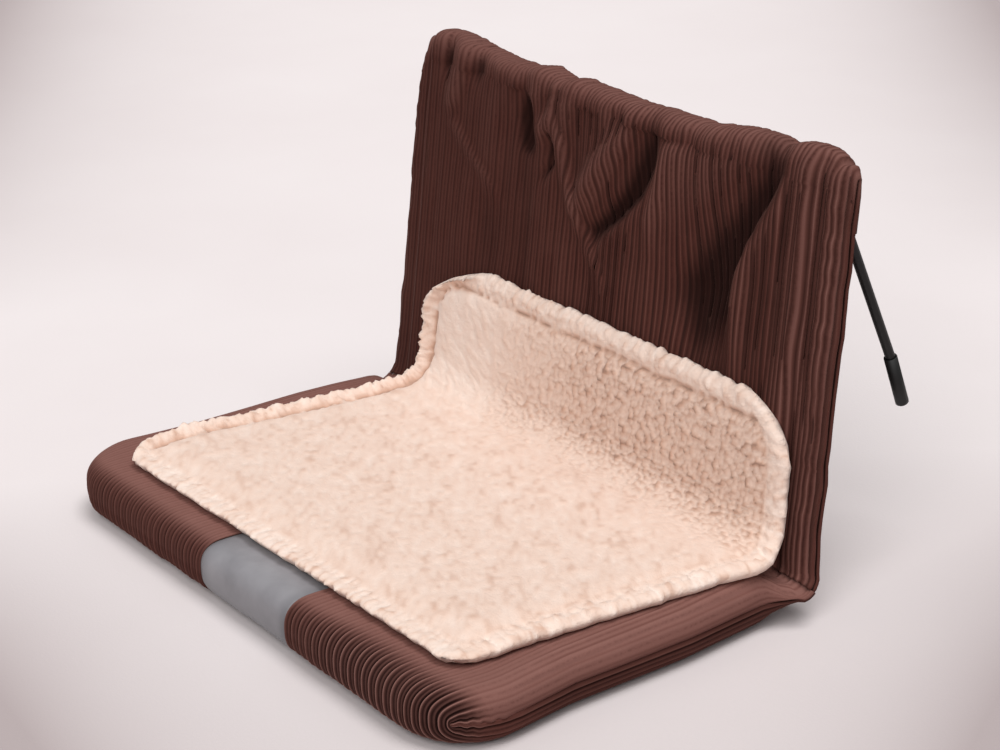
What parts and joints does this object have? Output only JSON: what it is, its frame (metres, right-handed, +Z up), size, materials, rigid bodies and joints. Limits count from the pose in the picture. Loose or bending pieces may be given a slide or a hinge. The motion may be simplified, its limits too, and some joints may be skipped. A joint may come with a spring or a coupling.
{
  "type": "radiator cat hammock",
  "caption": "Cat bed that hangs on a radiator: foam-padded corduroy seat and leaning back over a bent rod frame, loose sherpa mat, two hooks behind the back.",
  "frame": {"origin": "centre of the padded seat's flat underside, which lies on the floor in the picture", "axes": "+X to the right seen from the front, +Y from the front edge towards the radiator, +Z up"},
  "size_m": [0.48, 0.4071, 0.2957],
  "materials": {
    "coated_steel": "satin",
    "tip_vinyl": "matte",
    "foam": "matte",
    "corduroy": "matte",
    "grey_band": "satin",
    "closure_tape": "matte",
    "sherpa": "matte"
  },
  "bodies": {
    "frame": {"frame_loop": "coated_steel", "rear_cross_rod": "coated_steel", "hook_rod_left": "coated_steel", "hook_rod_right": "coated_steel", "hook_tip_left": "tip_vinyl", "hook_tip_right": "tip_vinyl", "foam_front": "foam", "foam_left": "foam", "foam_right": "foam", "seat_cover": "corduroy", "back_cover": "corduroy", "grey_band": "grey_band", "closure_loop_strip": "closure_tape", "closure_hook_strip": "closure_tape"},
    "mat": {"sherpa_mat": "sherpa"}
  },
  "joints": [
    {"name": "mat_lift", "type": "slide", "parent": "frame", "child": "mat", "axis": [0, -0.7071, 0.7071], "range_m": [0, 0.3]}
  ]
}
